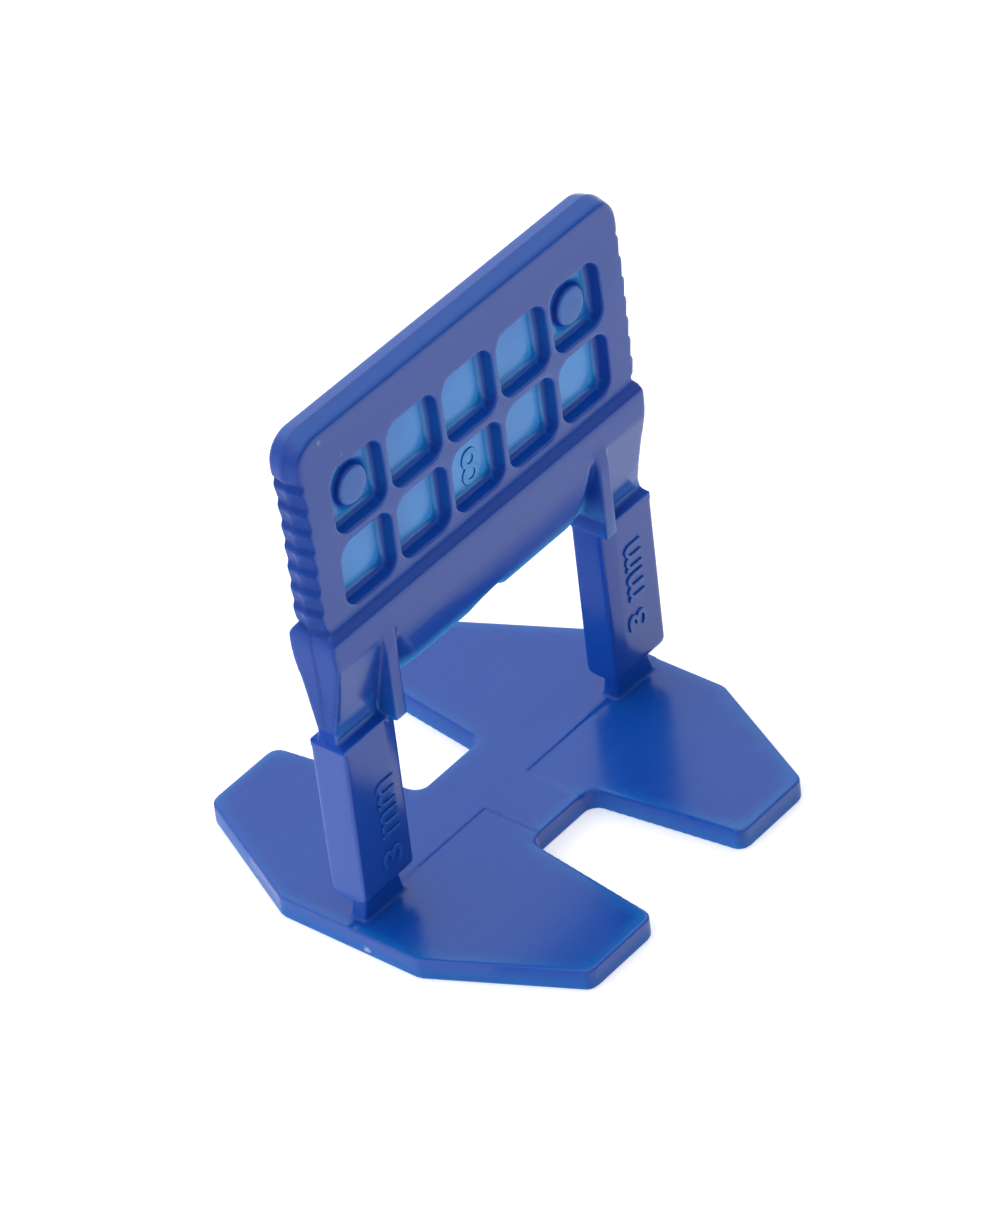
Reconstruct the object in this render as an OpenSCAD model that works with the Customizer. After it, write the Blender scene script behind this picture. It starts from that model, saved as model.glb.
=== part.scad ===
// Tile levelling clip and joint spacer, moulded in one piece.
// Millimetres. X runs along the tile joint, Y across it, Z up; the base stands on Z = 0.

/* [Base plate] */
// Length of the base plate along the joint (X)
base_length = 34; // [33:0.5:40]
// Depth of the base plate across the joint (Y)
base_depth = 33.2; // [28:0.4:40]
// Thickness of the base plate
base_thickness = 1.75; // [1.5:0.05:2.4]
// Length of the straight middle part of each outer edge
base_side = 12; // [8:0.5:18]
// Distance between the outer corners of two wing tips (X)
tip_span = 23.5; // [20:0.5:26]
// Distance between the inner corners of two wing tips (X)
notch_mouth = 9.8; // [7:0.1:13]
// Width of the bridge between the two notches (X)
bridge_width = 6.6; // [4.4:0.1:7]
// Depth of the bridge (Y)
bridge_depth = 9.7; // [7:0.1:14]
// Radius of the wing tip corners
tip_radius = 0.9; // [0.3:0.1:1.5]
// Radius of the inner corners of the notches
notch_radius = 1; // [0.4:0.1:1.4]

/* [Legs] */
// Thickness of a leg, which is the width of the joint
joint_width = 3; // [2.6:0.1:3.4]
// Clear width of the window between the legs
window_width = 22.2; // [18:0.2:23]
// Width of one leg (X)
leg_width = 5.4; // [4.4:0.1:5.5]
// Height of the underside of the legs
leg_bottom = 3.8; // [3.1:0.05:4.5]
// Height of the shoulders
shoulder_height = 17.2; // [14:0.2:18]
// Width of the flat beside each inner leg edge
leg_flat = 1.3; // [0.6:0.1:2]
// Depth of that flat at the leg edge
leg_flat_depth = 0.22; // [0.05:0.01:0.4]
// Size of the rounding under each leg
leg_rounding = 0.7; // [0.4:0.1:1.2]
// Width of the breaking neck where it joins the leg (X)
neck_width = 3.4; // [1.6:0.1:3.5]
// Width of the breaking neck on the base (X)
neck_foot = 4.2; // [3.6:0.1:5.2]
// Thickness of the breaking neck (Y)
neck_thickness = 1.3; // [0.8:0.1:1.6]

/* [Cross bar] */
// Thickness of the bar
bar_thickness = 3.9; // [3.5:0.1:4.2]
// Height of the bar, from the shoulders to its top
bar_height = 8.9; // [8.5:0.1:10]
// Height of the upright upper part of the bar
bar_band = 2.1; // [1.7:0.1:2.6]
// Slope of the ledge on top of the bar, as rise over run
ledge_slope = 1.2; // [0.6:0.1:1.6]
// Thickness of the neck at the shoulder
shoulder_neck = 1.5; // [1.1:0.1:2.2]
// Rise of the shoulder towards the neck
shoulder_rise = 0.25; // [0.1:0.05:0.5]
// Height of the lower edge of the bar above the shoulders
lip_rise = 1.6; // [1.2:0.1:2.4]
// Height of the thin lip along the lower edge
lip_height = 1.9; // [1.4:0.1:2]
// Thickness of the lip at its lower edge
bar_edge = 0.8; // [0.5:0.1:1.2]
// Thickness of the lip at its root
lip_root = 1.4; // [1.3:0.1:2]
// Width of the ears over both sides (X)
ear_span = 33.3; // [33.2:0.1:34]
// Depth of the waist between the ears and the shoulders
waist_depth = 0.05; // [0.05:0.05:0.4]
// Width of the notch in the lower edge
edge_notch_width = 2.7; // [1.6:0.1:4]
// Depth of the notch in the lower edge
edge_notch_depth = 0.55; // [0.2:0.05:1]

/* [Ribs] */
// Thickness of a rib (X)
rib_width = 1.15; // [0.8:0.05:1.6]
// Distance between the front edges of the front and back ribs (Y)
rib_depth = 4.4; // [4.3:0.1:4.8]
// Overhang of a rib into the window
rib_overhang = 0.35; // [0.1:0.05:0.6]
// Height of the ribs above the shoulders
rib_height = 7.5; // [6.9:0.1:8]

/* [Grip plate] */
// Height of the plate above the bar
plate_height = 16; // [15.6:0.1:22]
// Width of the plate at its middle plane, over the corners (X)
plate_width = 33.7; // [33.6:0.1:34.2]
// Thickness of the plate
plate_thickness = 2.6; // [2.5:0.1:3]
// Draft of the plate edges, from the middle plane to each face
plate_draft = 0.3; // [0.1:0.05:0.4]
// Radius of the rounding along the edges of each face
plate_edge = 0.4; // [0.2:0.05:0.5]
// Radius of the two top corners
plate_radius = 2.3; // [1:0.1:2.6]
// Width of the plate over the grip teeth (X)
teeth_span = 33.6; // [33.2:0.1:33.6]
// Depth of the grooves between the teeth
tooth_depth = 0.24; // [0.1:0.01:0.4]
// Distance from tooth to tooth
tooth_pitch = 1.65; // [1.5:0.01:1.66]
// Distance of the uppermost groove from the top edge
tooth_margin = 3.4; // [3.3:0.1:3.8]
// Number of teeth on each edge
tooth_count = 7; // [4:1:7]
// Step between the two moulded halves
mould_step = 0.08; // [0.02:0.01:0.12]

/* [Pockets] */
// Distance from pocket to pocket (X)
pocket_pitch = 5.7; // [5.5:0.05:5.9]
// Distance between the two rows (Z)
row_pitch = 5.8; // [5.6:0.05:5.9]
// Height of the middle of the lower row above the bar
row_rise = 3.8; // [3.6:0.05:4]
// Width of a pocket at its mouth (X)
pocket_width = 5.2; // [4.4:0.1:5.3]
// Height of a pocket at its mouth (Z)
pocket_height = 5.15; // [4:0.05:5.3]
// Depth of a pocket
pocket_depth = 1.05; // [0.7:0.05:1.1]
// Slope of the pocket walls over their depth
pocket_draft = 0.15; // [0.1:0.05:0.5]
// Radius of the fillet round the pocket floor
pocket_fillet = 0.4; // [0.2:0.05:0.6]
// Corner radius of a pocket
pocket_radius = 1.3; // [0.6:0.1:1.5]
// Diameter of the round bosses
boss_diameter = 3; // [2:0.1:3.1]
// Height of the bosses above the pocket floor
boss_height = 0.6; // [0.2:0.05:0.65]

/* [Hidden] */
$fn = 48;
arc_steps = 6;

leg_in = window_width / 2;
leg_out = leg_in + leg_width;
rib_in = leg_in - rib_overhang;
rib_out = rib_in + rib_width;
ear_out = ear_span / 2;
bar_top = shoulder_height + bar_height;
band_foot = bar_top - bar_band;
lip_foot = shoulder_height + lip_rise;
lip_top = lip_foot + lip_height;
rib_top = shoulder_height + rib_height;
ledge_run = (bar_thickness - plate_thickness) / 2;
plate_foot = bar_top + ledge_run * ledge_slope;
plate_top = bar_top + plate_height;
tooth_start = plate_top - tooth_margin;
floor_y = plate_thickness / 2 - pocket_depth;

// Rounds every corner of a polygon with its own radius
function rounded(p, r) = [
    for (i = [0 : len(p) - 1])
        let (
            b = p[i],
            u = unit(p[(i + len(p) - 1) % len(p)] - b),
            v = unit(p[(i + 1) % len(p)] - b),
            half = acos(u * v) / 2,
            c = b + unit(u + v) * r[i] / sin(half),
            s = b + u * r[i] / tan(half) - c,
            e = b + v * r[i] / tan(half) - c,
            a0 = atan2(s.y, s.x),
            turn = (atan2(e.y, e.x) - a0 + 540) % 360 - 180
        )
        for (k = [0 : arc_steps])
            c + r[i] * [cos(a0 + turn * k / arc_steps), sin(a0 + turn * k / arc_steps)]
];
function unit(v) = v / norm(v);

// Points of one half outline followed by its mirror image
function both_sides(p) = concat(p, [for (i = [len(p) - 1 : -1 : 0]) [-p[i].x, p[i].y]]);

// Extrudes an outline drawn in X and Z between two Y values
module across(y0, y1) {
    translate([0, y1, 0]) rotate([90, 0, 0]) linear_extrude(height = y1 - y0) children();
}

// Extrudes an outline drawn in Y and Z between two X values
module along(x0, x1) {
    translate([x0, 0, 0]) rotate([90, 0, 90]) linear_extrude(height = x1 - x0) children();
}

module base_plate() {
    l = base_length / 2;
    d = base_depth / 2;
    s = base_side / 2;
    t = tip_span / 2;
    m = notch_mouth / 2;
    b = bridge_width / 2;
    n = bridge_depth / 2;
    quarter = [[l, s], [t, d], [m, d], [b, n]];
    radii = [0.6, tip_radius, tip_radius, notch_radius];
    back = concat(quarter, [for (i = [3 : -1 : 0]) [-quarter[i].x, quarter[i].y]]);
    front = [for (i = [7 : -1 : 0]) [back[i].x, -back[i].y]];
    back_radii = concat(radii, [for (i = [3 : -1 : 0]) radii[i]]);
    difference() {
        linear_extrude(height = base_thickness)
            polygon(rounded(concat(back, front), concat(back_radii, back_radii)));
        // the front wings lie a little lower, as far as the bridge
        for (side = [-1, 1])
            translate([side > 0 ? b - notch_radius : -l - 1, -d - 1, base_thickness - mould_step])
                cube([l + 1 - b + notch_radius, d + 1, 1]);
    }
}

module leg() {
    j = joint_width / 2;
    difference() {
        translate([leg_in, -j, leg_bottom]) cube([leg_width, joint_width, shoulder_height - leg_bottom]);
        // shallow flats beside the inner edges
        for (face = [-1, 1])
            translate([0, 0, leg_bottom - 1]) linear_extrude(height = shoulder_height)
                polygon([
                    [leg_in - 0.1, face * (j - leg_flat_depth)],
                    [leg_in + leg_flat, face * j],
                    [leg_in + leg_flat, face * (j + 1)],
                    [leg_in - 0.1, face * (j + 1)]
                ]);
        // rounded under its front and back edges
        for (face = [-1, 1])
            along(leg_in - 1, leg_out + 1)
                polygon(concat(
                    [[face * (j - leg_rounding), leg_bottom - 1], [face * (j + 1), leg_bottom - 1],
                     [face * (j + 1), leg_bottom + leg_rounding]],
                    [for (k = [0 : arc_steps])
                        [face * (j - leg_rounding + leg_rounding * cos(90 * k / arc_steps)),
                         leg_bottom + leg_rounding - leg_rounding * sin(90 * k / arc_steps)]]
                ));
    }
    // shoulder sloping up to the neck of the frame
    along(leg_in, leg_out - 0.1)
        polygon(both_sides([
            [j - 0.1, shoulder_height - 0.2], [j - 0.1, shoulder_height],
            [shoulder_neck / 2, shoulder_height + shoulder_rise],
            [shoulder_neck / 2 - 0.3, shoulder_height + shoulder_rise]
        ]));
    // breaking neck, wider on the base than at the leg
    across(-neck_thickness / 2, neck_thickness / 2)
        translate([leg_in + leg_width / 2, 0])
            polygon(both_sides([
                [neck_foot / 2, base_thickness - 0.4], [neck_foot / 2, base_thickness + 0.1],
                [neck_width / 2, leg_bottom], [neck_width / 2, leg_bottom + 0.4]
            ]));
}

// Outline of the ears and necks seen from the front, drawn in to a given depth
function ear_outline(inset) = [
    [leg_out - inset, shoulder_height - 0.4],
    [leg_out - inset, shoulder_height + 0.6],
    [leg_out - waist_depth - inset, (shoulder_height + band_foot) / 2 + 0.8],
    [ear_out - 0.12 - inset, band_foot - 0.4],
    [ear_out - inset, band_foot + 0.6 * bar_band],
    [ear_out - inset, bar_top - 0.1],
    [ear_out - 0.15 - inset, (bar_top + plate_foot) / 2],
    [ear_out - 0.5 - inset, plate_foot]
];

// The frame seen from the front: two necks and the bar between them
module frame_outline(inset) {
    low_edge = lip_foot;
    difference() {
        polygon(both_sides(ear_outline(inset)));
        polygon(concat(
            [[leg_in, shoulder_height - 1], [leg_in, low_edge - 0.6], [leg_in - 0.18, low_edge - 0.18],
             [leg_in - 0.6, low_edge]],
            [[-leg_in + 0.6, low_edge], [-leg_in + 0.18, low_edge - 0.18], [-leg_in, low_edge - 0.6],
             [-leg_in, shoulder_height - 1]]
        ));
        w = edge_notch_width / 2;
        polygon([
            [w, low_edge - 0.01], [w - 0.75, low_edge + edge_notch_depth],
            [0.75 - w, low_edge + edge_notch_depth], [-w, low_edge - 0.01]
        ]);
    }
}

// The neck seen from the side
module neck_section() {
    h = bar_thickness / 2;
    s = shoulder_neck / 2;
    polygon(both_sides([
        [s, shoulder_height - 0.4], [s, shoulder_height + 1], [h, band_foot],
        [h, bar_top], [h - ledge_run, plate_foot]
    ]));
}

// The bar between the necks seen from the side, with the thin lip under it
module bar_section() {
    h = bar_thickness / 2;
    polygon(both_sides([
        [bar_edge / 2, lip_foot - 0.01], [lip_root / 2, lip_top], [h * 0.72, lip_top + 1.3],
        [h, band_foot], [h, bar_top], [h - ledge_run, plate_foot]
    ]));
}

module frame() {
    h = bar_thickness;
    for (half = [0, 1])
        intersection() {
            across(half ? -h : 0, half ? 0 : h)
                frame_outline(half ? mould_step : 0);
            union() {
                along(-leg_in, leg_in) bar_section();
                along(leg_in - 0.01, ear_out + 1) neck_section();
                along(-ear_out - 1, -leg_in + 0.01) neck_section();
            }
        }
}

module rib() {
    d = rib_depth / 2;
    along(rib_in, rib_out)
        polygon([
            [-d, shoulder_height - 0.25], [-d, rib_top - 0.5], [-d + 0.12, rib_top - 0.12],
            [-bar_thickness / 2 + 0.3, rib_top + 0.1],
            [bar_thickness / 2 - 0.3, rib_top + 0.1], [d - 0.12, rib_top - 0.12],
            [d, rib_top - 0.5], [d, shoulder_height - 0.25]
        ]);
}

// Edge of the front half of the plate: its inset from the outline, and its way towards the face
function plate_edge_points(h) = concat(
    [[0, 0]],
    [for (t = [0 : 30 : 90])
        [plate_draft * (h - plate_edge) / h + plate_edge * (1 - cos(t)), h - plate_edge * (1 - sin(t))]]
);

// Front half of the plate, drafted from the middle plane and rounded to its face
module plate_half() {
    w = plate_width / 2;
    h = plate_thickness / 2;
    r = plate_radius;
    edge = plate_edge_points(h);
    translate([0, 0, bar_top - 0.6])
        linear_extrude(height = plate_height - r + 0.6)
            polygon(both_sides([for (p = edge) [w - p.x, -p.y]]));
    along(-w + r, w - r)
        polygon(concat([for (p = edge) [-p.y, plate_top - p.x]], [[-h, bar_top], [0, bar_top]]));
    for (side = [-1, 1])
        translate([side * (w - r), 0, plate_top - r]) rotate([90, 0, 0])
            rotate_extrude() polygon(concat([for (p = edge) [r - p.x, p.y]], [[0, h], [0, 0]]));
}

// What is cut away between the teeth on the right edge of the front half
module tooth_cutter() {
    h = plate_thickness / 2;
    foot = tooth_start - tooth_pitch * tooth_count;
    line = concat(
        [[-0.4, bar_top - 1], [-0.4, foot - 0.05], [-tooth_depth, foot]],
        [for (k = [tooth_count - 1 : -1 : 0])
            let (top = tooth_start - tooth_pitch * k)
            each [[-0.04, top - 0.62], [0, top - 0.48], [-0.05, top - 0.34], [-tooth_depth, top]]],
        [[0, tooth_start + 0.4], [0.3, tooth_start + 0.55]]
    );
    intersection() {
        translate([teeth_span / 2, 0, 0]) rotate([0, 0, -atan(plate_draft / h)])
            across(-h - 1, 1) polygon(concat(line, [[2, tooth_start + 0.55], [2, bar_top - 1]]));
        translate([0, -h - 1, bar_top - 2]) cube([plate_width, h + 1, plate_height + 3]);
    }
}

// Section of a pocket of half width a: straight drafted walls and a filleted floor at Y = f
function pocket_section(a, y, f) = both_sides(concat(
    [[a, y - 1], [a, y]],
    [for (t = [0 : 30 : 90])
        [a - pocket_draft - pocket_fillet * (1 - cos(t)), f - pocket_fillet * (1 - sin(t))]]
));

module pocket() {
    w = pocket_width / 2;
    h = pocket_height / 2;
    y = -plate_thickness / 2;
    f = -floor_y;
    intersection() {
        across(y - 1, f)
            polygon(rounded([[w, h], [-w, h], [-w, -h], [w, -h]],
                            [pocket_radius, pocket_radius, pocket_radius, pocket_radius]));
        translate([0, 0, -h - 1]) linear_extrude(height = 2 * h + 2) polygon(pocket_section(w, y, f));
        along(-w - 1, w + 1) polygon([for (p = pocket_section(h, y, f)) [p.y, p.x]]);
    }
}

module grip_plate() {
    difference() {
        union() {
            plate_half();
            mirror([0, 1, 0]) plate_half();
        }
        for (turn = [0, 180]) rotate([0, 0, turn]) {
            tooth_cutter();
            mirror([1, 0, 0]) tooth_cutter();
        }
        for (turn = [0, 180], row = [0, 1], column = [-2 : 2])
            rotate([0, 0, turn])
                translate([column * pocket_pitch, 0, bar_top + row_rise + row * row_pitch]) pocket();
    }
    // round bosses in the upper corner pockets
    for (side = [-1, 1])
        translate([side * 2 * pocket_pitch, 0, bar_top + row_rise + row_pitch]) rotate([90, 0, 0])
            cylinder(d = boss_diameter, h = 2 * (floor_y + boss_height), center = true);
}

module levelling_clip() {
    color([0.16, 0.27, 0.68]) {
        base_plate();
        leg();
        mirror([1, 0, 0]) leg();
        frame();
        rib();
        mirror([1, 0, 0]) rib();
        grip_plate();
    }
}

levelling_clip();
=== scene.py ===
# %% [markdown]
# # A tile levelling clip in blue plastic
#
# The clip is one small moulding, 42 mm high. Its base plate lies under two tiles, its legs stand in the joint,
# and a wedge pushed through the window between the legs presses the tiles level. The exact solid is loaded
# first and stays the measure of everything here. What Blender adds is what the mould and the plastic add:
# soft edges, raised marks, light that shines through thin walls, and the small marks of use.

# %% Load the solid clip
import math

import bmesh
import bpy
from mathutils import Matrix, Vector
from mathutils.bvhtree import BVHTree


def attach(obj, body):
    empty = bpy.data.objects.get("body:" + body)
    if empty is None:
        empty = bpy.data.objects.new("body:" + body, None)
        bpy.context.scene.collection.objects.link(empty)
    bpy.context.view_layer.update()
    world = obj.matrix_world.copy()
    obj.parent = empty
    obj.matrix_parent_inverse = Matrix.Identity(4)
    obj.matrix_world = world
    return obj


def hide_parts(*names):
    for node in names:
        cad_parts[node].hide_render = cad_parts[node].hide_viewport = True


MM = 0.001


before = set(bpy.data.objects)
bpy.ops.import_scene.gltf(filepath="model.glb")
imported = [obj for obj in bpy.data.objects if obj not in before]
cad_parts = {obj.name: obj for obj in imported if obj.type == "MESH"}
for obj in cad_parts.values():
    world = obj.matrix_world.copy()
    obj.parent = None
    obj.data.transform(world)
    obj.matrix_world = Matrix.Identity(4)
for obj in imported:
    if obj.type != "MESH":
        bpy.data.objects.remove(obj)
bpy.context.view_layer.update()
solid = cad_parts["levelling_clip"]

# %% [markdown]
# ## The camera
#
# The photograph was taken from far away with a long lens, from the left and well above, and turned by a few
# degrees. Such a view is set by the camera's place and by two directions: where it looks, and which way is up
# in the picture. The matrix of a Blender camera has its right, up and backward directions as columns, so the
# directions go straight into it. Three angles would do as well, but nobody can read them off a picture.

# %% Place the camera
CAMERA_PLACE = Vector((-263.73, -246.57, 299.16)) * MM
LOOK = Vector((0.5779, 0.5367, -0.6148))
PICTURE_UP = Vector((0.5308, 0.3250, 0.7827))
FOCAL_LENGTH = 246.2

right = LOOK.cross(PICTURE_UP).normalized()
turn = Matrix((right, right.cross(LOOK), -LOOK)).transposed()
lens = bpy.data.cameras.new("camera")
lens.sensor_fit = "HORIZONTAL"
lens.sensor_width = 36
lens.lens = FOCAL_LENGTH
lens.clip_start = 0.01
camera = bpy.data.objects.new("camera", lens)
camera.matrix_world = Matrix.Translation(CAMERA_PLACE) @ turn.to_4x4()
bpy.context.scene.collection.objects.link(camera)
bpy.context.scene.camera = camera
print("camera", [round(x / MM) for x in camera.location], "mm, lens", round(lens.lens, 1), "mm")

# %% [markdown]
# ## From an exact solid to a moulded surface
#
# A real moulding has no razor edges: every outer edge is a little round and every inner corner has a fillet,
# because the mould was milled and the plastic shrinks. A Bevel modifier could round the edges, but on a part
# with many tiny steps its bands run into each other. A voxel remesh is sturdier: it wraps the whole solid in
# small even quads, which smoothing can then round by the same small amount everywhere. It needs one closed
# surface to start from, so the solid's loose triangles are merged first, in a copy.


# %% Make a merged copy of the solid
SAME_POINT = 0.0005 * MM


def copy_of(obj, name):
    mesh = obj.data.copy()
    mesh.materials.clear()
    mesh.name = name
    out = bpy.data.objects.new(name, mesh)
    bpy.context.scene.collection.objects.link(out)
    return out


shell = copy_of(solid, "shell")
bm = bmesh.new()
bm.from_mesh(shell.data)
bmesh.ops.remove_doubles(bm, verts=bm.verts, dist=SAME_POINT)
bm.to_mesh(shell.data)
open_edges = sum(not e.is_manifold for e in bm.edges)
bm.free()
print("merged shell:", len(shell.data.vertices), "points,", open_edges, "open edges")

# %% [markdown]
# ## A skin of small quads
#
# The voxel size sets the finest form that survives. A tenth of a millimetre keeps the teeth and the thin
# floors of the pockets. The new points lie near the solid but not quite on it, so a Shrinkwrap modifier pulls
# each one onto the nearest place of the exact surface. The flat faces are then truly flat, and smoothing
# leaves them so, because a point that is averaged with neighbours in its own plane doesn't leave that plane.


# %% Wrap the solid
def modifier(obj, kind, **settings):
    m = obj.modifiers.new(kind.lower(), kind)
    for key, value in settings.items():
        setattr(m, key, value)


def bake_modifiers(obj):
    seen = obj.evaluated_get(bpy.context.evaluated_depsgraph_get())
    mesh = bpy.data.meshes.new_from_object(seen)
    mesh.name = obj.data.name
    obj.modifiers.clear()
    obj.data = mesh


clip = copy_of(shell, "moulded_clip")
modifier(clip, "REMESH", mode="VOXEL", voxel_size=0.1 * MM, adaptivity=0)
modifier(clip, "SHRINKWRAP", target=shell, wrap_method="NEAREST_SURFACEPOINT")
bake_modifiers(clip)
points = [v.co / MM for v in clip.data.vertices]
print("wrapped clip:", len(points), "points")

# %% [markdown]
# ## Crisp places and soft places
#
# A mould isn't equally round everywhere. The teeth and the fine step in the base are crisp, while the pockets,
# the legs and the ears of the bar are softer than the rest. The clip could be cut into parts and each part
# smoothed by itself, but then the parts would have to be joined again. A vertex group is simpler. It is a list
# of points with a name, and a modifier that is given the name moves only those points.


# %% Find the crisp and the soft places
def on_teeth(x, y, z):
    return abs(x) > 16 and 26.4 < z < 39


def on_step_of_base(x, y, z):
    return abs(x) < 12 and -5 < y < 0.6 and 1.5 < z < 1.9


def in_soft_place(x, y, z):
    in_pocket = abs(x) < 15.2 and abs(y) < 0.95 and 27 < z < 41
    at_foot = 9.5 < abs(x) < 16.5 and abs(y) < 2.5 and 1.6 < z < 2
    on_leg = 1.9 < z < 16.6
    on_ear = abs(x) > 12.2 and abs(y) > 1 and 19 < z < 25.6
    on_ledge = abs(y) > 1.2 and 25.5 < z < 27.3
    on_waist = abs(x) > 12.2 and 17.8 < z < 20.5
    return in_pocket or at_foot or on_leg or on_ear or on_ledge or on_waist


def group_points(name, chosen):
    clip.vertex_groups.new(name=name).add(chosen, 1, "REPLACE")
    print("group", name, "holds", len(chosen), "of", len(points), "points")


group_points("round", [i for i, p in enumerate(points) if not on_teeth(*p) and not on_step_of_base(*p)])
group_points("soft", [i for i, p in enumerate(points) if in_soft_place(*p)])

# %% [markdown]
# ## Smoothing
#
# Each round of the Smooth modifier moves a point half way to the mean of its neighbours, so the number of
# rounds sets the radius. The modifier is used three times: on all points, on all but the crisp ones, and on
# the soft ones. The crisp places then have had 4 rounds, most of the clip 15 and the soft places 44.

# %% Smooth three times
for rounds, group in ((4, ""), (11, "round"), (29, "soft")):
    modifier(clip, "SMOOTH", factor=0.5, iterations=rounds, vertex_group=group)
bake_modifiers(clip)
moved = max((v.co / MM - p).length for v, p in zip(clip.data.vertices, points))
print("smoothing moved a point by", round(moved, 2), "mm at most")

# %% [markdown]
# ## A fuller bar
#
# On the real clip the cross bar keeps most of its thickness down to the lip and then turns in quickly, while
# the solid narrows earlier. The fine mesh can simply be moved: a point keeps its x and z, and its y is
# multiplied by how much thicker the bar is to be at that height. The full thickness is one smooth formula,
# because straight pieces joined end to end would show as lines in the reflections. The factor fades to one
# before the ribs, over a longer way lower down, where it is larger.

# %% Fill out the bar
BAR_TOP = 24.0
BAR_HALF = 1.95
FULL_HEIGHT = 5.25
HEIGHT_AND_HALF = [(18.79, 0.4), (20.7, 0.7), (22.0, 1.4), (BAR_TOP, BAR_HALF)]


def ease(t):
    """From 0 to 1 with no kink at either end."""
    t = min(max(t, 0), 1)
    return t * t * (3 - 2 * t)


def drawn_half(z):
    for (low, first), (high, second) in zip(HEIGHT_AND_HALF, HEIGHT_AND_HALF[1:]):
        if z <= high:
            return first + (second - first) * (z - low) / (high - low)


def full_half(z):
    return BAR_HALF * math.sqrt(1 - ((BAR_TOP - z) / FULL_HEIGHT) ** 3)


def fullness(x, z):
    if not HEIGHT_AND_HALF[0][0] < z < BAR_TOP:
        return 1
    fade = 0.5 + 0.5 * (BAR_TOP - z)
    return 1 + max(full_half(z) / drawn_half(z) - 1, 0) * ease((10.8 - abs(x)) / fade)


for height in (19.5, 20.5, 21.5, 22.5):
    halves = round(drawn_half(height), 2), round(full_half(height), 2)
    print("bar at", height, "mm: half thickness drawn and moulded", halves, "mm")

# %% [markdown]
# ## Ribs, lip and lean
#
# Three more small shifts follow the real clip. The ribs run out flush into the bar at their upper ends. A
# small piece is missing from the lower edge of the lip. And the top of the plate leans back a little, as thin
# mouldings do when one side cools first. Each is a formula of the place again, and each starts and ends with
# the same easy curve, so that none leaves a line on the surface.


# %% Shift ribs, lip and plate
def rib_rise(x, z):
    """How much of a rib still stands out over the bar."""
    return 1 - 0.95 * ease((z - 22.3) / 2.3) if 10.4 < abs(x) < 12.2 and z < 25.2 else 1


def over_bar(y, factor):
    return math.copysign(BAR_HALF + (abs(y) - BAR_HALF) * factor, y) if abs(y) > BAR_HALF else y


def chip(x, z):
    """How far the edge of the lip is pushed up."""
    along = min((x + 2.4) / 2.7, (1.5 - x) / 0.8)
    return 0.7 * min(max(along, 0), 1) * ease((20.4 - z) / 1.5) if z > 18 else 0


def lean(z):
    return 0.3 * ease((z - 34) / 8)


print("rib at 24 mm stands out to", round(rib_rise(11, 24), 2), "of its height")
print("lip is pushed up by", round(chip(0.5, 18.8), 2), "mm, plate's top leans by", round(lean(42), 2), "mm")

# %% [markdown]
# ## There and back
#
# Together the shifts take a drawn point to its moulded place. The way back is needed too, because the rounding
# of the edges is measured against the drawn solid, and a shift must not count as rounding. Most steps are
# undone in the reverse order by dividing or taking away. Only the height is harder, since its shift depends on
# the very height that is looked for. Putting each answer in again a few times brings it close enough.


# %% Move the points
def moulded(point):
    x, y, z = point / MM
    return Vector((x, over_bar(y, rib_rise(x, z)) * fullness(x, z) + lean(z), z + chip(x, z))) * MM


def as_drawn(point):
    x, y, z = point / MM
    lower = z
    for _ in range(6):
        lower = z - chip(x, lower)
    return Vector((x, over_bar((y - lean(lower)) / fullness(x, lower), 1 / rib_rise(x, lower)), lower)) * MM


shifts, errors = [], []
for v in clip.data.vertices:
    start = v.co.copy()
    v.co = moulded(start)
    shifts.append((v.co - start).length / MM)
    if v.index % 100 == 0:
        errors.append((as_drawn(v.co) - start).length / MM)
print("largest shift", round(max(shifts), 2), "mm, and the way back misses by", round(max(errors), 4), "mm")

# %% [markdown]
# ## Even out the bar, and keep fewer points
#
# The stretched part of the bar is smoothed once more. After that the even skin has far more points than the
# form needs. The Decimate modifier takes out those that matter least, which are the ones on flat faces. But
# the colour will be read from numbers kept at the points, and a large face with no points inside would smear
# them from edge to edge. So every 61st point is left out of the group that may go.

# %% Smooth the bar and thin out the skin
KEPT_EVERY = 61
KEPT_SHARE = 0.185

on_bar = [i for i, p in enumerate(points) if abs(p.x) < 10.9 and abs(p.y) > 0.3 and 19.3 < p.z < 24.6]
group_points("bar", on_bar)
group_points("may_go", [i for i in range(len(points)) if i % KEPT_EVERY])
modifier(clip, "SMOOTH", factor=0.5, iterations=24, vertex_group="bar")
modifier(clip, "DECIMATE", ratio=KEPT_SHARE, vertex_group="may_go", vertex_group_factor=1)
bake_modifiers(clip)
for face in clip.data.polygons:
    face.use_smooth = True
print("moulded clip:", len(clip.data.vertices), "points,", len(clip.data.polygons), "faces")

# %% [markdown]
# ## How thick the plastic is
#
# Light goes into this plastic and comes out again, so thin places look lighter and greener than thick ones.
# A shader can't know how thick a wall is, but a script can measure it once and keep it with the mesh. From
# each point a few rays go inwards, spread like a cone, and the mean way to the far side is the thickness
# there. One straight ray would be quicker, but it jumps at every edge, and the cone blurs those jumps.

# %% Send rays inwards
RAYS = 5
CONE = 0.8
START_INSIDE = 0.03 * MM
FURTHEST = 4 * MM

tree = BVHTree.FromObject(clip, bpy.context.evaluated_depsgraph_get())


def cone_of(normal):
    side = normal.orthogonal().normalized()
    across = normal.cross(side)
    for k in range(RAYS):
        a = 2 * math.pi * k / RAYS
        yield (normal + (side * math.cos(a) + across * math.sin(a)) * CONE).normalized()


def depth_behind(point, normal):
    total = 0
    start = point - normal * START_INSIDE
    for ray in cone_of(-normal):
        hit = tree.ray_cast(start, ray, FURTHEST)
        total += hit[3] if hit[0] else FURTHEST
    return total / RAYS


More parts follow.
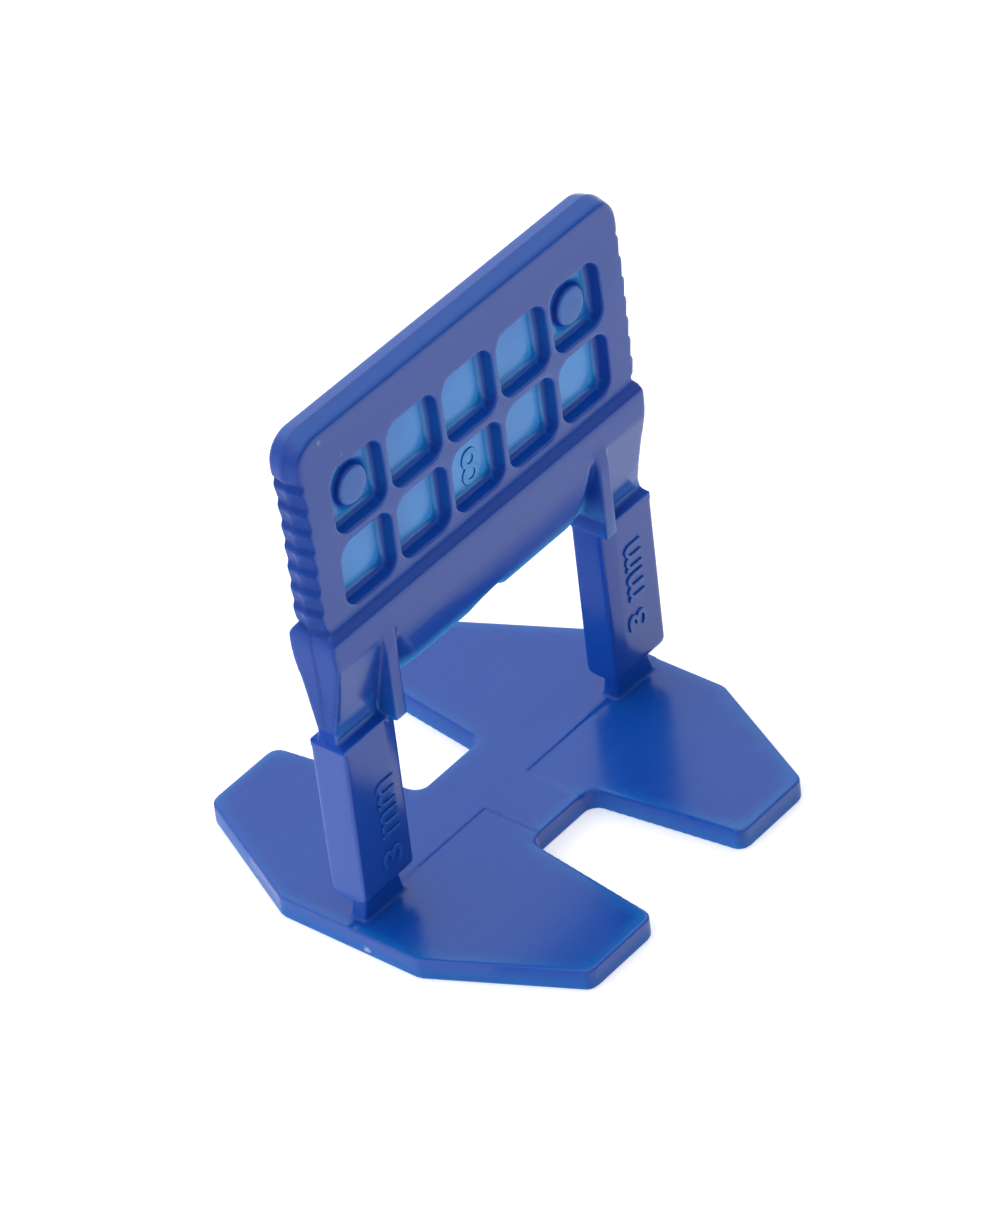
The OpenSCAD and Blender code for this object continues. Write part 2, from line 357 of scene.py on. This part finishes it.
thickness = [depth_behind(v.co, v.normal) / MM for v in clip.data.vertices]
print(len(thickness) * RAYS, "rays sent, thinnest place", round(min(thickness), 2), "mm")

# %% [markdown]
# ## Numbers that stay with the mesh
#
# An attribute holds one number for each point of a mesh, and a shader reads it by its name. It stays with the
# mesh when the mesh is moved or exported, which a list in a script doesn't.


# %% Keep the thickness
def keep_numbers(mesh, name, values):
    mesh.attributes.new(name, "FLOAT", "POINT").data.foreach_set("value", values)


def spread_of(values):
    ordered = sorted(values)
    return [round(ordered[int(len(ordered) * share)], 3) for share in (0.02, 0.25, 0.5, 0.75, 0.98)]


keep_numbers(clip.data, "thickness", thickness)
print("thickness in mm, thin to thick:", spread_of(thickness))

# %% [markdown]
# ## Where the edges were rounded
#
# A second number says how far the smoothing moved each point off the drawn solid. It is above zero on rounded
# outer edges, which is where handling scuffs a part, and below zero in the inner corners, where dust stays.
# Blender's own Pointiness gives something like it, but it changes with the size of the triangles, and only
# Cycles has it. A kept number means the same everywhere.

# %% Measure the rounding
exact = BVHTree.FromObject(shell, bpy.context.evaluated_depsgraph_get())
rounding = []
for v in clip.data.vertices:
    drawn = as_drawn(v.co)
    nearest, _, _, distance = exact.find_nearest(drawn)
    rounding.append(distance / MM * (1 if (nearest - drawn).dot(v.normal) > 0 else -1))
keep_numbers(clip.data, "rounding", rounding)
print("rounding in mm, corners to edges:", spread_of(rounding))

# %% [markdown]
# ## Raised marks
#
# The mould also leaves a few plain marks: the width of the joint on the front of each leg, which tells the
# tiler which clip this is, and the number of the mould's cavity in a pocket. Letters could be drawn point by
# point, but a text object has them ready. It gets a little height and a soft rim and is turned into a mesh at
# once, because text can't ride on a body or be exported.


# %% Make raised letters
def raised_letters(name, text):
    curve = bpy.data.curves.new(name, "FONT")
    curve.body = text
    curve.size = 1
    curve.extrude = 0.05
    curve.bevel_depth = 0.022
    curve.bevel_resolution = 2
    curve.offset = -0.012
    flat = bpy.data.objects.new(name + "_text", curve)
    bpy.context.scene.collection.objects.link(flat)
    mesh = bpy.data.meshes.new_from_object(flat.evaluated_get(bpy.context.evaluated_depsgraph_get()))
    bpy.data.objects.remove(flat)
    mesh.name = name
    return mesh


TEXTS = {
    "right_leg_3": "3",
    "right_leg_mm": "mm",
    "left_leg_3": "3",
    "left_leg_mm": "mm",
    "cavity_number": "8",
}
letters = {name: raised_letters(name, text) for name, text in TEXTS.items()}
print("letters with", [len(mesh.polygons) for mesh in letters.values()], "faces")

# %% [markdown]
# ## The marks in their places
#
# Each mark is moved to the middle of its mesh, brought to its real width, height and rise, turned to read up
# the leg, stood upright and moved to its place. All of this goes into the mesh itself, so that the object
# stays at the origin, unturned and unscaled. The marks stay flat-shaded, since their rims are only hundredths
# of a millimetre wide. Half of a mark lies inside the plastic, so that no gap shows behind it.


# %% Set the marks
RISE = 0.3


def set_mark(name, high, wide, place, turned=0):
    mesh = letters[name]
    low = Vector([min(v.co[i] for v in mesh.vertices) for i in range(3)])
    top = Vector([max(v.co[i] for v in mesh.vertices) for i in range(3)])
    size = top - low
    mesh.transform(Matrix.Translation(-(low + top) / 2))
    mesh.transform(Matrix.Diagonal((wide * MM / size.x, high * MM / size.y, RISE * MM / size.z, 1)))
    mesh.transform(Matrix.Rotation(math.radians(turned), 4, "Z"))
    mesh.transform(Matrix.Rotation(math.radians(90), 4, "X"))
    mesh.transform(Matrix.Translation(Vector(place) * MM))
    for face in mesh.polygons:
        face.use_smooth = False
    mark = bpy.data.objects.new(name, mesh)
    bpy.context.scene.collection.objects.link(mark)
    print(name, "at", place, "mm")
    return mark


marks = [
    set_mark("right_leg_3", 1.9, 1.35, (13.75, -1.49, 7.9), 90),
    set_mark("right_leg_mm", 1.75, 4.7, (13.95, -1.49, 12.1), 90),
    set_mark("left_leg_3", 1.9, 1.35, (-13.35, -1.49, 6.2), 90),
    set_mark("left_leg_mm", 1.75, 4.7, (-13.2, -1.49, 10.3), 90),
    set_mark("cavity_number", 2.85, 1.7, (0.2, -0.20, 29.5)),
]

# %% [markdown]
# ## Shader maths as plain expressions
#
# A node tree is easier to read as a formula. The small class below holds one socket, and its operators add
# Math nodes, so that `1 - mask` or `noise * 0.2 + 0.4` can be written as they are. Two masks joined by `|` give
# the larger of them. Every other node comes from the method `node`, which takes the node's type, its settings
# and the values or links of its inputs. Most masks below say that something is above or below a limit, so
# those two steps have methods of their own.


# %% Wrap a socket
class Wire:
    def __init__(self, tree, socket):
        self.tree, self.socket = tree, socket

    def node(self, kind, settings=(), out=0, **inputs):
        made = self.tree.nodes.new("ShaderNode" + kind)
        for key, value in dict(settings).items():
            setattr(made, key, value)
        for key, value in inputs.items():
            socket = made.inputs[int(key[1:]) if key[0] == "i" and key[1:].isdigit() else key.replace("_", " ")]
            if isinstance(value, Wire):
                self.tree.links.new(value.socket, socket)
            else:
                socket.default_value = value
        return Wire(self.tree, made.outputs[out] if made.outputs else None)

    def maths(self, operation, a, b=0.0):
        return self.node("Math", {"operation": operation}, i0=a, i1=b)

    def __add__(self, other):
        return self.maths("ADD", self, other)

    __radd__ = __add__

    def __mul__(self, other):
        return self.maths("MULTIPLY", self, other)

    __rmul__ = __mul__

    def __sub__(self, other):
        return self.maths("SUBTRACT", self, other)

    def __rsub__(self, other):
        return self.maths("SUBTRACT", other, self)

    def __or__(self, other):
        return self.maths("MAXIMUM", self, other)

    def __abs__(self):
        return self.maths("ABSOLUTE", self)

    def above(self, low, high):
        """0 below low, 1 above high, and a soft step between them."""
        soft = {"interpolation_type": "SMOOTHSTEP"}
        return self.node("MapRange", soft, Value=self, From_Min=low, From_Max=high)

    def below(self, low, high):
        return 1 - self.above(low, high)

    def mix(self, first, second):
        """The first colour where this is 0, the second where it is 1."""
        return self.node("Mix", {"data_type": "RGBA"}, out=2, i0=self, i6=first, i7=second)

    def noise(self, size_mm, detail=2.0, roughness=0.5, stretch=(1, 1, 1), shift=(0, 0, 0)):
        """Noise from 0 to 1 on a vector in metres, with features about size_mm wide."""
        placed = self.node("Mapping", i0=self, Scale=stretch, Location=shift)
        return self.node("TexNoise", i0=placed, Scale=1 / (size_mm * MM), Detail=detail, Roughness=roughness)


print("shader maths ready")

# %% [markdown]
# ## Blue, slightly translucent plastic
#
# The plastic is a nearly clear polypropylene with blue pigment. Three things make it look like that, and not
# like blue paint. Its own colour is very deep, because the pale bloom on the open faces is only the white room
# mirrored in a satin surface. Light spreads under the surface, blue further than red. And thin places and edges
# are painted lighter and greener, as light coming through the plastic makes them, for which the measured
# thickness is used. The pattern of everything else comes from four noises: the slow flow of the melt, soft
# clouds, the fine grain of the mould, and specks.


# %% Read the kept numbers and make the noises
def material(name):
    made = bpy.data.materials.new(name)
    made.use_nodes = True
    made.node_tree.nodes.clear()
    return made, Wire(made.node_tree, None)


plastic, wire = material("blue_plastic")
place = wire.node("TexCoord", out=3)
depth = wire.node("Attribute", {"attribute_name": "thickness"}, out=2)
worn = wire.node("Attribute", {"attribute_name": "rounding"}, out=2)

flow = place.noise(9, 3, 0.55, stretch=(1, 1, 0.45))
cloud = place.noise(3.2, 2, 0.5, shift=(0.01, 0.02, 0.03))
grain = place.noise(0.28, 2, 0.6)
speck = place.noise(0.55, 1, 0.4, shift=(0.03, 0, 0.01))
print("noises and numbers:", len(plastic.node_tree.nodes), "nodes")

# %% [markdown]
# ## Where a point is, and which way it faces
#
# Much of the finish belongs to a place: the base was milled in streaks, the recesses are duller, the lip lets
# light through. A painted mask would need a picture and a UV map. But this clip stands square to the axes, so
# its coordinates in millimetres and its normal tell a base from a leg, and a front from a side. The solid's
# own heights give the limits: 1.75 mm for the top of the base, 17 mm for the shoulders, 26.5 mm for the foot
# of the plate.

# %% Name the coordinates and the directions
normal = wire.node("TexCoord", out=1)
x, y, z = (wire.node("SeparateXYZ", out=i, i0=place) * (1 / MM) for i in range(3))
nx, ny, nz = (wire.node("SeparateXYZ", out=i, i0=normal) for i in range(3))
out_x, out_y = abs(x), abs(y)
aside = abs(nx).above(0.3, 0.8)
facing = abs(ny).above(0.3, 0.8)
upright = nz.below(0.4, 0.9)
print("with places and directions:", len(plastic.node_tree.nodes), "nodes")

# %% [markdown]
# ## Masks for the base, the legs and the bar
#
# A mask is a number from 0 to 1 at each point. The product of several masks is the place where all of them
# hold, so a product of limits is a box. Each limit is a soft step a few tenths of a millimetre wide, because
# a hard one would show as a painted line.

# %% Mask the base, the legs and the bar
on_base = z.below(1.8, 1.9)
low_rim = z.below(0.1, 1.7) * upright
base_edge = on_base * depth.below(1.2, 2.15) * nz.above(0.4, 0.9)
neck = z.above(1.75, 1.9) * z.below(3.9, 4.8)
shoulder = z.above(16.8, 17) * z.below(18.3, 18.6) * out_x.above(11.9, 12.1)
slot = shoulder * (1 - facing)
waist = z.above(16.9, 17.3) * z.below(18.9, 19.8) * out_x.above(12.2, 12.5) * facing
bar = z.above(18.3, 18.5) * out_x.below(10.4, 10.9)
belly = bar * z.below(21, 23.8)
lip = bar * z.below(18.9, 20.9)
sheltered = aside * (z.above(17.5, 18.5) | out_x.below(14.5, 15))
print("with base, legs and bar:", len(plastic.node_tree.nodes), "nodes")

# %% [markdown]
# ## Masks for the plate and the worn edges
#
# The walls of the pockets are found by their depth, since they lie nearer the middle of the plate than its
# faces do, and by not facing forwards. Corners and scuffed edges come from the kept rounding. The scuffs are
# broken up by specks and by the slow noise, because hands never wear an edge evenly.

# %% Mask the plate and the rounded places
in_plate = z.above(26.3, 26.8)
on_top = z.above(41.2, 41.8)
rim = out_x.above(15.4, 15.8)
front = facing * out_y.above(0.8, 0.9)
recess = in_plate * z.below(40, 40.6) * (1 - rim) * out_y.below(0.85, 1.05) * (1 - facing)
# painted shade: the roots of the gaps between the teeth, darkened in the colour and dulled in the surface
tooth_gap_shade = aside * in_plate * z.below(39, 39.4) * (rim - out_x.above(16.6, 16.74))
corner = worn.below(-0.09, -0.01) * (1 - shoulder)
scuff = worn.above(0.04, 0.14) * (0.25 + 0.75 * speck.above(0.48, 0.62)) * flow.above(0.35, 0.65)
print("with plate and edges:", len(plastic.node_tree.nodes), "nodes")

# %% [markdown]
# ## Painted light in thin places and corners
#
# This is light painted into the colour: the deep blue is mixed towards lighter, greener blues. The thinner the
# wall, the more, first along the edges and then, much lighter, in the floors of the pockets, where light comes
# through from behind. The thick base is painted lighter along its edges too, because light enters there from
# the white table, and the top of the plate a little. The inner corners of the pockets get a bright blue,
# painted light against the shade that falls there. Such light could be traced through the plastic, but that is
# slow and noisy, and a mix by measured thickness shows the same thing.

# %% Mix the light in
DEEP = (0.0040, 0.0580, 0.3700, 1)
THIN = (0.0080, 0.2600, 0.6000, 1)
SEEN_THROUGH = (0.0500, 0.3200, 0.7200, 1)
LIT_CORNER = (0.0100, 0.1500, 0.7000, 1)

membrane = depth.below(0.6, 1.0) * facing * (1 - neck)
thin = depth.below(0.5, 2.6) * (0.45 + 0.55 * upright) * (0.35 + 0.65 * facing) * (1 - neck)
# painted light: the thinner the wall, the lighter and greener the blue
blue = thin.mix(DEEP, THIN)
blue = membrane.mix(blue, SEEN_THROUGH)
# painted light: the low rim and the edges of the base, and a little of the plate's top, are lightened
blue = (0.45 * low_rim + 0.15 * on_top + 0.5 * base_edge).mix(blue, THIN)
# painted light: the inner corners of the pockets are lightened against the shade that falls there
blue = (0.8 * corner * in_plate * (1 - rim)).mix(blue, LIT_CORNER)
print("colour of thin places:", len(plastic.node_tree.nodes), "nodes")

# %% [markdown]
# ## Lines, painted shade and streaks
#
# The two halves of the mould meet in a fine dark line round the sides and along the top. A faint dark line
# across the base is painted shade at a small step there, and the gaps between the teeth are darkened with
# painted shade as well. The melt left slow streaks, and the milling of the mould left fine ones along the base.
# All of them only tint the blue. They are far too shallow to be modelled, and a texture made from formulas
# stays sharp at any distance.

# %% Draw the lines and streaks
DARK_LINE_AND_SHADE = (0.0020, 0.0250, 0.1700, 1)
STREAK = (0.0045, 0.0800, 0.4200, 1)

side_line = aside * rim * z.above(18, 19) * out_y.below(0.05, 0.16)
top_line = z.above(41.2, 41.6) * abs(y - 0.3).below(0.05, 0.16)
# painted shade: a dark line along the small step that crosses the base
base_step_shade = on_base * abs(x + 2.3).below(0.06, 0.2) * y.below(-0.2, 0) * y.above(-4.7, -4.5)
milling = on_base * place.noise(0.16, 2, 0.6, stretch=(0.03, 1, 1)).above(0.35, 0.65)
# the parting lines are the mould's own dark joints; the step and the tooth gaps are painted shade in the same
# dark colour
blue = (0.7 * (0.7 * (side_line + top_line | base_step_shade) | tooth_gap_shade)).mix(blue, DARK_LINE_AND_SHADE)
blue = (0.35 * flow.above(0.3, 0.7) + 0.15 * cloud + 0.3 * milling).mix(blue, STREAK)
print("with lines and streaks:", len(plastic.node_tree.nodes), "nodes")

# %% [markdown]
# ## Painted shade and light, and wear
#
# Some whole places are given painted shade and painted light. The front, the sides of the upper part and the
# top are painted a darker, greyer violet, as painted shade with a painted sheen. The slots over the shoulders
# are painted a deeper blue, as painted shade. The waists are painted paler, as painted light, and the lip is
# painted lighter, as light that comes through it from below. Handling adds pale scuffs along the rounded edges,
# and there are three small nicks, each a spot with a ragged rim round one place. Colours of wear stay faint: a
# scuff that can be seen at once is too strong.

# %% Paint shade and light, and wear
SHADE_AND_SHEEN_VIOLET = (0.0110, 0.0420, 0.2600, 1)
SLOT_SHADE_BLUE = (0.0030, 0.0500, 0.3600, 1)
LIT_WAIST_BLUE = (0.0250, 0.1200, 0.4400, 1)
LIP_LIT_BLUE = (0.0700, 0.3800, 0.7500, 1)
SCUFFED = (0.1600, 0.2600, 0.5200, 1)
NICKED = (0.3000, 0.3900, 0.6000, 1)
NICK_PLACE_SIZE_STRENGTH = [
    ((-17, -1.5, 0.5), 0.35, 1.0),
    ((-14.3, -1.0, 41.1), 0.25, 0.45),
    ((-12.5, -1.0, 39.0), 0.2, 0.3),
]

# painted shade with a painted sheen: front, upper sides and top go a darker, greyer violet
blue = (0.45 * front + 0.45 * aside * z.above(17, 18) + 0.2 * on_top * (1 - front)).mix(blue, SHADE_AND_SHEEN_VIOLET)
# painted light: the waists are lightened
blue = (0.5 * waist).mix(blue, LIT_WAIST_BLUE)
# painted shade: the slots over the shoulders are darkened
blue = (0.8 * slot).mix(blue, SLOT_SHADE_BLUE)
# painted light: the lip is lightened as if lit through from below
blue = (0.9 * lip).mix(blue, LIP_LIT_BLUE)
blue = (0.3 * scuff).mix(blue, SCUFFED)
for spot, size, strength in NICK_PLACE_SIZE_STRENGTH:
    away = wire.node("VectorMath", {"operation": "DISTANCE"}, out=1, i0=place, i1=Vector(spot) * MM) * (1 / MM)
    blue = (strength * (away + 0.5 * grain).below(size, size + 0.25)).mix(blue, NICKED)
print("colour finished with", len(plastic.node_tree.nodes), "nodes")

# %% [markdown]
# ## A satin surface and a dull one
#
# The open faces are satin and mirror the white room softly, which gives the pale bloom. Corners, recesses, the
# necks and the faces that look down are dull, and show the plastic's own colour. Roughness alone can't do
# this, since a rough surface still mirrors the room, only more blurred. So there are two surfaces, equal but
# for their roughness and gloss, and a mask decides between them. Grain, clouds and milling also bend the light
# a little, through a Bump node, because they are only hundredths of a millimetre deep.

# %% Finish the surface
under = nz.below(-0.75, -0.15) * (1 - waist)
dull_on_leg = 0.6 * low_rim | 0.7 * neck | 0.9 * slot | 0.9 * belly
dull_on_plate = 0.8 * recess | 0.1 * on_top | 0.55 * sheltered + 0.3 * tooth_gap_shade
dull = dull_on_leg | dull_on_plate | 0.85 * corner | 0.6 * under
rough = 0.15 + 0.06 * cloud + 0.04 * grain + 0.03 * milling + 0.1 * scuff
height = 0.4 * grain + 0.3 * cloud + 0.4 * milling
bump = wire.node("Bump", Strength=0.06, Distance=0.05 * MM, Height=height)


def plastic_surface(roughness, gloss):
    return wire.node(
        "BsdfPrincipled",
        {"subsurface_method": "RANDOM_WALK"},
        Base_Color=blue,
        Roughness=roughness,
        Normal=bump,
        IOR=1.49,
        Specular_IOR_Level=gloss,
        Subsurface_Weight=0.55,
        Subsurface_Radius=(0.2, 0.9, 1.4),
        Subsurface_Scale=0.5 * MM,
    )


surface = wire.node("MixShader", i0=dull, i1=plastic_surface(rough, 0.5), i2=plastic_surface(0.5, 0.05))
wire.node("OutputMaterial", Surface=surface)
print("surface finished with", len(plastic.node_tree.nodes), "nodes")

# %% [markdown]
# ## Putting the clip together
#
# Every piece rides on the one rigid body of the part. The moulded surface stands for the exact solid, which
# is then hidden, and the marks sit on it in the same plastic. A mark has no wall of its own to measure, so it
# is given the thickness of what it stands on: a solid leg, or the thin floor of a pocket.

# %% Dress the pieces
for piece in [clip, *marks]:
    piece.data.materials.clear()
    piece.data.materials.append(plastic)
    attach(piece, "root")
for mark in marks:
    wall = 0.8 if mark.name == "cavity_number" else 2.0
    keep_numbers(mark.data, "thickness", [wall] * len(mark.data.vertices))
    keep_numbers(mark.data, "rounding", [0.0] * len(mark.data.vertices))
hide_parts("levelling_clip")
bpy.data.objects.remove(shell)
print(len(marks) + 1, "pieces in", plastic.name)

# %% [markdown]
# ## A white table that glows
#
# In the photograph the clip stands on pure white, with hardly a shadow. A white floor alone would come out
# grey, since it sends back only part of the light. A little light of its own keeps it white, softens the
# shadow and shines up into the faces that look down, as a light table does.

# %% Lay the floor
bm = bmesh.new()
bmesh.ops.create_grid(bm, x_segments=1, y_segments=1, size=1.5)
floor_mesh = bpy.data.meshes.new("floor")
bm.to_mesh(floor_mesh)
bm.free()
floor = bpy.data.objects.new("floor", floor_mesh)
bpy.context.scene.collection.objects.link(floor)
paper, sheet = material("white_light_table")
glowing = sheet.node(
    "BsdfPrincipled",
    Base_Color=(0.9, 0.9, 0.9, 1),
    Roughness=0.9,
    Emission_Color=(1, 1, 1, 1),
    Emission_Strength=0.35,
)
sheet.node("OutputMaterial", Surface=glowing)
floor.data.materials.append(paper)
print("floor", [round(x, 1) for x in floor.dimensions], "m in", paper.name)

# %% [markdown]
# ## One soft lamp
#
# A big disk to the left and above is the only lamp. It makes the faces that look left brighter than the front
# ones. A small lamp would do that too, but it would add a hard shadow and sharp highlights, which the
# photograph doesn't have. The lamp is turned towards the clip by the direction from one to the other.

# %% Hang the lamp
lamp = bpy.data.lights.new("key_lamp", "AREA")
lamp.shape = "DISK"
lamp.size = 0.8
lamp.energy = 0.7
key_lamp = bpy.data.objects.new("key_lamp", lamp)
key_lamp.location = (-0.55, 0.0, 0.6)
key_lamp.rotation_euler = (Vector((0, 0, 0.02)) - key_lamp.location).to_track_quat("-Z", "Y").to_euler()
bpy.context.scene.collection.objects.link(key_lamp)
print("key lamp of", round(lamp.energy, 2), "W,", round(lamp.size, 2), "m across")

# %% [markdown]
# ## A white room
#
# Most of the light comes from the room, which is brighter above and behind and darker low in front. A world of
# one even white would light every face alike and flatten the form. The dot product of a ray's direction with
# the direction of the bright side makes a slow change from bright to dark, and a smallest value keeps the dark
# side from going black.

# %% Light the room
BRIGHT_SIDE = (-0.1, 0.5, 0.7)

world = bpy.data.worlds.new("white_room")
world.use_nodes = True
world.node_tree.nodes.clear()
room = Wire(world.node_tree, None)
way = room.node("TexCoord", out=3)
towards_light = way.node("VectorMath", {"operation": "DOT_PRODUCT"}, out=1, i0=way, i1=BRIGHT_SIDE)
light = 0.58 + towards_light | 0.05
room.node("OutputWorld", Surface=room.node("Background", Color=(1, 1, 1, 1), Strength=light))
bpy.context.scene.world = world
bpy.context.scene.view_settings.view_transform = "Standard"
print("room lit by", len(world.node_tree.nodes), "nodes")
